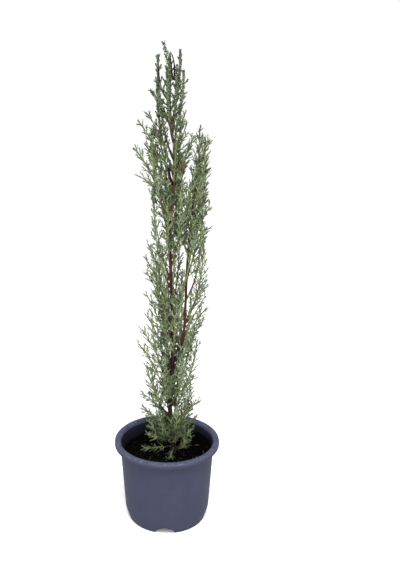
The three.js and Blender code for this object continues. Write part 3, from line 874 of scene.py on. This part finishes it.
class Finish:
    """A node material for a surface, built up step by step. Sizes are millimetres."""

    def __init__(self, name, surface):
        self.material = bpy.data.materials.new(name)
        self.material.use_nodes = True
        self.tree = self.material.node_tree
        self.place = self.node("TexCoord", "Object", {})
        self.surface = surface
        self.grain = self.noise(surface.grain, GRAIN_DETAIL, surface.stretch)

    def feed(self, node, inputs):
        """Sets the inputs of a node, or links them where another node gives the value."""
        for socket, value in inputs.items():
            if isinstance(value, bpy.types.NodeSocket):
                self.tree.links.new(value, node.inputs[socket])
            else:
                node.inputs[socket].default_value = value

    def node(self, kind, output, inputs, **settings):
        node = self.tree.nodes.new("ShaderNode" + kind)
        for setting, value in settings.items():
            setattr(node, setting, value)
        self.feed(node, inputs)
        return node.outputs[output]

    def noise(self, size, detail=PATCH_DETAIL, stretch=(1, 1, 1)):
        scale = [1 / (size * MM * share) for share in stretch]
        place = self.node("Mapping", "Vector", {"Vector": self.place, "Scale": scale})
        return self.node("TexNoise", "Fac", {"Vector": place, "Scale": 1, "Detail": detail})

    def spread(self, share, low, high, span=NOISE_SPAN):
        """A value from low to high while a share goes through a span."""
        ends = {"From Min": span[0], "From Max": span[1], "To Min": low, "To Max": high}
        return self.node("MapRange", "Result", {"Value": share, **ends})

    def height(self, low, high, waver):
        """Height over the compost as a share of a span, wavering by a noise."""
        z = self.node("SeparateXYZ", "Z", {"Vector": self.place})
        terms = {0: self.noise(WAVER_SIZE), 1: 2 * waver * MM, 2: z}
        uneven = self.node("Math", 0, terms, operation="MULTIPLY_ADD")
        return self.spread(uneven, 0, 1, [(COMPOST_TOP + end + waver) * MM for end in (low, high)])

    def tones(self, share, stops):
        """Colours by a share, from pairs of a position and a colour."""
        colour = self.node("ValToRGB", "Color", {"Fac": share})
        elements = colour.node.color_ramp.elements
        while len(elements) < len(stops):
            elements.new(0.5)
        for element, (position, tone) in zip(elements, stops):
            element.position = position
            element.color = (*tone, 1)
        return colour

    def patches(self, tones):
        """A colour that drifts between two tones."""
        return self.tones(self.noise(self.surface.patch), list(zip(NOISE_SPAN, tones)))

    def mixed(self, colour, other, share, blend="MIX"):
        """A colour under another one, by a share."""
        layers = {"A": colour, "B": other, "Factor": share}
        return self.node("Mix", "Result", layers, data_type="RGBA", blend_type=blend)

    def shaded(self, colour, share, deepest):
        """A colour darkened where a share is low, down to the deepest part of it."""
        return self.mixed(colour, self.spread(share, deepest, 1), 1, "MULTIPLY")

    def coat(self, colour):
        """The finished material, with that colour and the roughness and relief of its grain."""
        depth = self.surface.depth * MM
        relief = self.node("Bump", "Normal", {"Height": self.grain, "Distance": depth})
        self.feed(self.tree.nodes["Principled BSDF"], {
            "Base Color": colour,
            "Normal": relief,
            "Roughness": self.spread(self.grain, *self.surface.roughness),
            "Specular IOR Level": self.surface.shine,
        })
        return self.material


def mottled(name, tones, surface):
    finish = Finish(name, surface)
    return finish.coat(finish.patches(tones))


def bark_finish(name, tones):
    """Bark with tones by height, darker in the furrows."""
    finish = Finish(name, BARK_SURFACE)
    low, high = tones[0][0], tones[-1][0]
    stops = [((height - low) / (high - low), colour) for height, colour in tones]
    colour = finish.tones(finish.height(low, high, BARK_WAVER), stops)
    return finish.coat(finish.shaded(colour, finish.grain, BARK_SHADE))


def plastic_finish():
    finish = Finish("pot_plastic", PLASTIC_SURFACE)
    rim = POT_HEIGHT - COMPOST_TOP
    scuffs = finish.noise(SCUFF_SIZE, SCUFF_DETAIL, SCUFF_STRETCH)
    colour = finish.shaded(finish.patches(PLASTIC_TONES), scuffs, SCUFF_SHADE)
    # Painted highlight on the rim: the body below it is painted darker than the rim's top
    colour = finish.shaded(colour, finish.height(rim - RIM_DROP, rim, RIM_WAVER), BODY_UNDER_PAINTED_HIGHLIGHT)
    # Spots on the rim's crest: the pale ones are painted highlight as well as pale specks, the dark ones
    # are dirt
    crest = finish.spread(finish.height(rim - RIM_INNER_ROUND[1], rim, RIM_WAVER), 0, 1, CREST_SPAN)
    for spots in RIM_DIRT_AND_HIGHLIGHT_SPOTS:
        share = finish.spread(finish.noise(spots.size, spots.detail), 0, spots.most, spots.span)
        on_crest = finish.node("Math", 0, {0: crest, 1: share}, operation="MINIMUM")
        colour = finish.mixed(colour, (*spots.colour, 1), on_crest)
    return finish.coat(colour)


def shade_inside_pot_finish():
    """Plastic with painted shade inside the pot, darkest down by the compost and paler towards the rim."""
    finish = Finish("pot_inside_shade", INSIDE_SHADE_SURFACE)
    shade_share = finish.height(0, POT_HEIGHT - COMPOST_TOP, INSIDE_SHADE_WAVER)
    return finish.coat(finish.tones(shade_share, list(enumerate(INSIDE_SHADE_TONES))))


# Pot


def notch_lift(turn):
    """How high the foot is cut away at a turn, in the arch of a notch."""
    half = NOTCH_WIDTH / 2
    radius = (half * half + NOTCH_HEIGHT * NOTCH_HEIGHT) / (2 * NOTCH_HEIGHT)
    off = (turn - FIRST_NOTCH_TURN + 180 / NOTCHES) % (360 / NOTCHES) - 180 / NOTCHES
    across = math.radians(off) * FOOT_RADIUS
    return max(0, math.sqrt(max(0, radius * radius - across * across)) - radius + NOTCH_HEIGHT)


def pot_turns():
    """Turns round the pot, clockwise as its section goes down its outside, and closer in the notches."""
    notch = math.degrees(NOTCH_WIDTH / 2 / FOOT_RADIUS)
    turns = []
    for i in range(NOTCHES):
        middle = FIRST_NOTCH_TURN + i * 360 / NOTCHES
        turns += [middle - notch * math.cos(math.pi * n / NOTCH_STEPS) for n in range(NOTCH_STEPS)]
        plain = middle + notch, middle + 360 / NOTCHES - notch
        turns += list(np.linspace(*plain, PLAIN_STEPS, endpoint=False))
    return turns[::-1]


def wall_radius(z):
    """The outside of the wall, which tapers down to a bevel."""
    if z < BEVEL_HEIGHT:
        return lerp(FOOT_RADIUS, BODY_LOW_RADIUS, z / BEVEL_HEIGHT)
    return lerp(BODY_LOW_RADIUS, BODY_TOP_RADIUS, (z - BEVEL_HEIGHT) / (POT_HEIGHT - BEVEL_HEIGHT))


def wall_points(stretch, start, end, inset=0):
    """Points on a stretch of the section along the outside of the wall, or inset from it."""
    return [(wall_radius(z) - inset, z) for z in np.linspace(start, end, WALL_POINTS[stretch])]


def arc(x, z, size, start, end, count=SMALL_ARC_POINTS):
    """Points round a rounded edge, from one angle to another."""
    angles = np.radians(np.linspace(start, end, count))
    return [(x + size[0] * math.cos(a), z + size[1] * math.sin(a)) for a in angles]


def pot_inside():
    """The section from the middle of the floor up the inside wall, past the ledge, to the rim."""
    corner = wall_radius(FLOOR_TOP) - WALL - FLOOR_CORNER_ROUND
    corner_round = (FLOOR_CORNER_ROUND, FLOOR_CORNER_ROUND)
    ledge = POT_HEIGHT - LEDGE_DROP
    section = [(0, FLOOR_TOP), (corner, FLOOR_TOP)]
    section += arc(corner, FLOOR_TOP + FLOOR_CORNER_ROUND, corner_round, *FLOOR_CORNER_ARC)
    for radius, z in wall_points("inside", FLOOR_TOP + THICKENS_FROM, ledge - LEDGE_SLOPE[0], WALL):
        share = (z - FLOOR_TOP - THICKENS_FROM) / THICKENS_OVER
        section.append((radius - LEDGE_WIDTH * eased(share), z))
    top = POT_HEIGHT - RIM_INNER_ROUND[1] - UNDER_RIM
    return section + wall_points("over ledge", ledge + LEDGE_SLOPE[1], top, WALL)


def pot_rim():
    """The section of the rolled rim, from its inside over the top and under it to the body."""
    inner = wall_radius(POT_HEIGHT) - WALL
    skirt = RIM_RADIUS - WALL
    under = POT_HEIGHT - LIP_THICKNESS
    edge = (EDGE_ROUND, EDGE_ROUND)
    (inner_x, inner_z), (outer_x, outer_z) = RIM_INNER_ROUND, RIM_OUTER_ROUND
    rim = arc(inner + inner_x, POT_HEIGHT - inner_z, RIM_INNER_ROUND, 180, 90, ARC_POINTS)
    rim += arc(RIM_RADIUS - outer_x, POT_HEIGHT - outer_z, RIM_OUTER_ROUND, 90, 0, ARC_POINTS)
    rim += arc(RIM_RADIUS - EDGE_ROUND, POT_HEIGHT - RIM_DROP + EDGE_ROUND, edge, 0, -90)
    rim += [(skirt, POT_HEIGHT - RIM_DROP), (skirt - EDGE_ROUND, under - EDGE_ROUND)]
    rim += arc(skirt - 2 * EDGE_ROUND, under - EDGE_ROUND, edge, 0, 90)
    return rim + arc(wall_radius(under) + LIP_ROUND, under - LIP_ROUND, (LIP_ROUND, LIP_ROUND), 90, 180)


def pot_profile(lift):
    """The section at one turn, from the middle of the floor over the rim to the middle underneath."""
    lip = POT_HEIGHT - LIP_THICKNESS
    outer_edge, inner_edge = FOOT_EDGE
    foot_radius = wall_radius(lift)
    outside = wall_points("outside", lip - UNDER_LIP, BEVEL_HEIGHT + BEVEL_EDGE)
    outside += wall_points("bevel", BEVEL_HEIGHT - BEVEL_EDGE, lift + outer_edge)
    foot = [(foot_radius - outer_edge, lift), (foot_radius - FOOT_WIDTH + outer_edge, lift)]
    foot += wall_points("foot", lift + inner_edge, FLOOR_UNDERSIDE, FOOT_WIDTH)
    return pot_inside() + pot_rim() + outside + foot + [(0, FLOOR_UNDERSIDE)]


def cut_drain(pot, turn):
    spot = heading(turn) * DRAIN_CIRCLE + UP * (FLOOR_TOP + FLOOR_UNDERSIDE) / 2
    bpy.ops.mesh.primitive_cylinder_add(
        vertices=DRAIN_SIDES,
        radius=DRAIN_RADIUS * MM,
        depth=3 * (FLOOR_TOP - FLOOR_UNDERSIDE) * MM,
        location=tuple(spot * MM),
    )
    cutter = bpy.context.object
    cut = pot.modifiers.new("drain", "BOOLEAN")
    cut.operation, cut.solver, cut.object = "DIFFERENCE", "EXACT", cutter
    pot.data = bpy.data.meshes.new_from_object(pot.evaluated_get(bpy.context.evaluated_depsgraph_get()))
    pot.modifiers.clear()
    bpy.data.objects.remove(cutter)


def make_pot():
    shell = revolved(pot_turns(), lambda turn: pot_profile(notch_lift(turn)))
    pot = piece("pot_shell", shell, [plastic_finish(), shade_inside_pot_finish()], ["pot"])
    for i in range(NOTCHES):
        cut_drain(pot, FIRST_NOTCH_TURN + (i + 0.5) * 360 / NOTCHES)
    # Faces inside the pot, from the floor up to the rim's rounding, take the painted shade
    for face in pot.data.polygons:
        faces_inside = face.normal.xy.dot(face.center.xy) < 0 or face.normal.z > FACES_UP
        if faces_inside and FLOOR_TOP - SKIN < face.center.z / MM < POT_HEIGHT - RIM_INNER_ROUND[1]:
            face.material_index = 1
    pot.data.set_sharp_from_angle(angle=math.radians(SHARP_ANGLE))


# Compost


def compost_height(x, y):
    """The uneven top of the compost: soft hollows with crumbs on them, banked up on one side."""
    flat = np.stack([x, y, np.zeros_like(x)], 1)
    waves = 0
    for seed, (size, depth) in enumerate(COMPOST_WAVES, COMPOST_WAVE_SEED):
        waves = waves + depth * (lattice_noise(flat, size, seed) - COMPOST_WAVE_LEVEL)
    return COMPOST_TOP + waves + bank(x, y)


def compost_section(turn):
    low = FLOOR_TOP + COMPOST_GAP
    edge = wall_radius(COMPOST_TOP) - WALL - LEDGE_WIDTH - COMPOST_GAP
    foot = wall_radius(low) - WALL - COMPOST_GAP
    radii = np.linspace(edge, 0, COMPOST_RINGS)[:-1]
    out = heading(turn)
    tops = compost_height(radii * out[0], radii * out[1])
    chamfer = [(foot - COMPOST_CHAMFER, low), (foot, low + COMPOST_CHAMFER)]
    return [(0, low), *chamfer, *zip(radii, tops), (0, COMPOST_TOP)]


def make_compost():
    earth = mottled("compost_earth", EARTH_TONES, EARTH_SURFACE)
    ground = revolved(np.arange(COMPOST_STEPS) * 360 / COMPOST_STEPS, compost_section)
    piece("compost_ground", ground, [earth], ["compost"])


def on_compost(draws, count, middle, spread):
    """Places on the compost, scattered round a middle."""
    edge = wall_radius(COMPOST_TOP) - WALL - LEDGE_WIDTH - LITTER_MARGIN
    spots = draws.normal(middle, spread, (SPARE_PLACES * count, 2))
    x, y = spots[np.hypot(spots[:, 0], spots[:, 1]) < edge][:count].T
    return np.stack([x, y, compost_height(x, y)], 1)


def lumps(draws, spots, radius):
    """Small rough lumps with eight faces each, squashed and partly sunk."""
    waist = [[1, 0, 0], [0, 1, 0], [-1, 0, 0], [0, -1, 0]]
    corners = np.array(waist + [[0, 0, LUMP_SQUASH], [0, 0, -LUMP_SQUASH]])
    sides, top, bottom = len(waist), len(waist), len(waist) + 1
    faces = [[i, (i + 1) % sides, top] for i in range(sides)]
    faces += [[(i + 1) % sides, i, bottom] for i in range(sides)]
    sizes = lerp(*radius, draws.random(len(spots)) ** 2)[:, None, None]
    vertices = corners * sizes * draws.uniform(*LUMP_ROUGHNESS, (len(spots), len(corners), 1))
    turns = draws.uniform(0, math.tau, len(spots))[:, None]
    x, y = vertices[..., 0].copy(), vertices[..., 1].copy()
    vertices[..., 0] = x * np.cos(turns) - y * np.sin(turns)
    vertices[..., 1] = x * np.sin(turns) + y * np.cos(turns)
    vertices += spots[:, None] + UP * sizes * LUMP_LIFT
    numbers = (np.arange(len(spots)) * len(corners))[:, None, None] + faces
    return vertices.reshape(-1, 3), [numbers.reshape(-1, 3)]


def straw(draws, foot):
    """A thin dry stalk that leans and bends over."""
    length = draws.uniform(*STRAW_LENGTH)
    lean, droop = draws.normal(0, STRAW_BEND, (2, 3))
    middle = foot + unit(UP + lean * (1, 1, 0)) * length / 2
    end = middle + unit(STRAW_RISE * UP + lean * (1, 1, 0) + droop) * length / 2
    line = bezier([foot, middle, end], STRAW_POINTS)
    return tube(line, np.full(STRAW_POINTS, STRAW_RADIUS), STRAW_SIDES)


def make_litter():
    draws = np.random.default_rng(SEED)
    for name, bits in LITTER.items():
        spots = on_compost(draws, bits.count, bits.middle, bits.spread)
        material = mottled(name, (bits.dark, bits.light), LITTER_SURFACE)
        piece("compost_" + name, lumps(draws, spots, bits.radius), [material])
    stalks = [straw(draws, foot) for foot in on_compost(draws, STRAWS, STRAW_MIDDLE, STRAW_SPREAD)]
    dry = mottled("straw", STRAW_TONES, STRAW_SURFACE)
    piece("compost_straws", joined(stalks), [dry])


# Plant


def bark_relief(strength):
    """Ridges that run along a limb, broken into flakes."""
    def relief(points):
        ridges = lattice_noise(points * RIDGE_STRETCH, RIDGE_SIZE, RIDGE_SEED)
        flakes = lattice_noise(points, FLAKE_SIZE, FLAKE_SEED)
        return strength * (ridges + FLAKE_SHARE * flakes - (1 + FLAKE_SHARE) / 2)
    return relief


def stem_tube(stem, sides, strength, sink=0):
    """A stem with relief on its bark. It may be sunk into the compost, straight down."""
    low = stem.low - sink
    heights = np.linspace(low, stem.high, round((stem.high - low) / STEM_STEP))
    line = np.array([stem.at(max(0, height)) + UP * min(0, height) for height in heights])
    return tube(line, [stem.radius(height) for height in heights], sides, bark_relief(strength))


def nodes_named(start):
    return [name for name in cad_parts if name.startswith(start)]


def make_stems():
    bark = bark_finish("bark", BARK_TONES)
    trunk = stem_tube(STEMS["leader"], TRUNK_SIDES, TRUNK_RELIEF, TRUNK_SINK)
    piece("trunk_bark", trunk, [bark], ["trunk"])
    second = stem_tube(STEMS["second"], SECOND_SIDES, SECOND_RELIEF)
    piece("second_leader_bark", second, [bark], ["second_leader"])
    boughs = []
    for line in leader_plumes() + second_plumes() + apart_plumes():
        line, _ = respaced(line, LEAF_STEP)
        woody = line[: max(FEWEST_WOODY_POINTS, int(len(line) * WOODY_SHARE))]
        radii = np.linspace(*BOUGH_RADIUS, len(woody))
        boughs.append(tube(woody, radii, BOUGH_SIDES, bark_relief(BOUGH_RELIEF)))
    bough_bark = bark_finish("bough_bark", BOUGH_TONES)
    piece("boughs_bark", joined(boughs), [bough_bark], nodes_named("bough_"))


def make_dead_shoots():
    dead = mottled("dead_bark", DEAD_TONES, DEAD_SURFACE)
    radii = np.linspace(*DEAD_RADIUS, DEAD_POINTS)
    shoots = []
    for controls in DEAD_SHOOTS:
        line = bezier([np.array(spot) + UP * COMPOST_TOP for spot in controls], DEAD_POINTS)
        shoots.append(tube(line, radii, BOUGH_SIDES, bark_relief(DEAD_RELIEF)))
    piece("dead_shoots", joined(shoots), [dead])


def crown_twigs():
    """The crown's twigs by their kind: the axis of each plume, and the shoots along it."""
    twigs = defaultdict(list)
    leader_top, second_top = top_plumes()
    plumes = [(line, BARE_SHARE, SPRAY_MARGIN) for line in leader_plumes() + second_plumes()]
    plumes += [(line, BARE_SHARE, APART_MARGIN) for line in apart_plumes()]
    plumes += [(line, BARE_SHARE, SPRAY_MARGIN) for line in sprigs()]
    plumes += [(line, 0, SPRAY_MARGIN) for line in (leader_top, second_top)]
    for number, (line, bare, margin) in enumerate(plumes):
        spots, _ = respaced(line, LEAF_STEP)
        leafy = spots[int(len(spots) * bare * LEAFLESS_BY_BARE):]
        phase = math.tau * chance(number, DRAW["axis"])
        high = line[-1][2] > COMPOST_TOP + TOP_FROM
        kind, radii = ("top_axis", TOP_RADIUS) if high else ("axis", AXIS_RADIUS)
        radii = LEADER_TIP_RADIUS if line is leader_top else radii
        body = round((1 - AXIS_TIP_SHARE) * len(leafy))
        add_twig(twigs, (leafy, np.linspace(*radii, len(leafy)), phase), kind, AXIS_TIP_KIND, body)
        grow_shoots(twigs, line, number + 1, margin, start=bare)
    return twigs


def make_foliage():
    colours = OTHER_KINDS | {kind: colour for kind, (colour, _) in FOLIAGE.items()}
    masses = nodes_named("foliage_")
    for kind, twigs in crown_twigs().items():
        tones = [tuple(tint * channel for channel in colours[kind]) for tint in LEAF_TINTS]
        material = mottled("leaf_" + kind, tones, LEAF_SURFACE)
        piece("leaves_" + kind, leaves_on(twigs), [material], masses)


# Stage


def area_light(name, place, size, power):
    light = bpy.data.lights.new(name, "AREA")
    light.shape, light.size, light.energy = "SQUARE", size, power
    lamp = placed(name, light)
    lamp.location = place
    lamp.rotation_euler = (Vector(LIGHTS_AIM) - Vector(place)).to_track_quat("-Z", "Y").to_euler()


def make_stage():
    bpy.ops.mesh.primitive_plane_add(size=FLOOR_SIZE)
    floor = bpy.context.object
    floor.name = "studio_floor"
    floor.data.materials.append(mottled("floor_paint", FLOOR_TONES, FLOOR_SURFACE))
    world = bpy.data.worlds.new("studio")
    bpy.context.scene.world = world
    world.use_nodes = True
    background = world.node_tree.nodes["Background"].inputs
    background["Color"].default_value = (1, 1, 1, 1)
    background["Strength"].default_value = WORLD_LIGHT
    for name, (place, size, power) in LIGHTS.items():
        area_light(name, place, size, power)
    bpy.context.scene.view_settings.view_transform = "Standard"


def make_camera():
    data = bpy.data.cameras.new("camera")
    camera = placed("camera", data)
    data.sensor_width = SENSOR
    data.lens = SENSOR * FOCAL_PIXELS / FRAME_HEIGHT
    data.shift_x = (FRAME_WIDTH / 2 - POT_AXIS_COLUMN) / FRAME_HEIGHT
    camera.location = CAMERA_PLACE
    camera.rotation_euler = (math.radians(90 - CAMERA_DIP), 0, 0)
    bpy.context.scene.camera = camera


make_camera()
make_stage()
make_pot()
make_compost()
make_litter()
make_stems()
make_dead_shoots()
make_foliage()
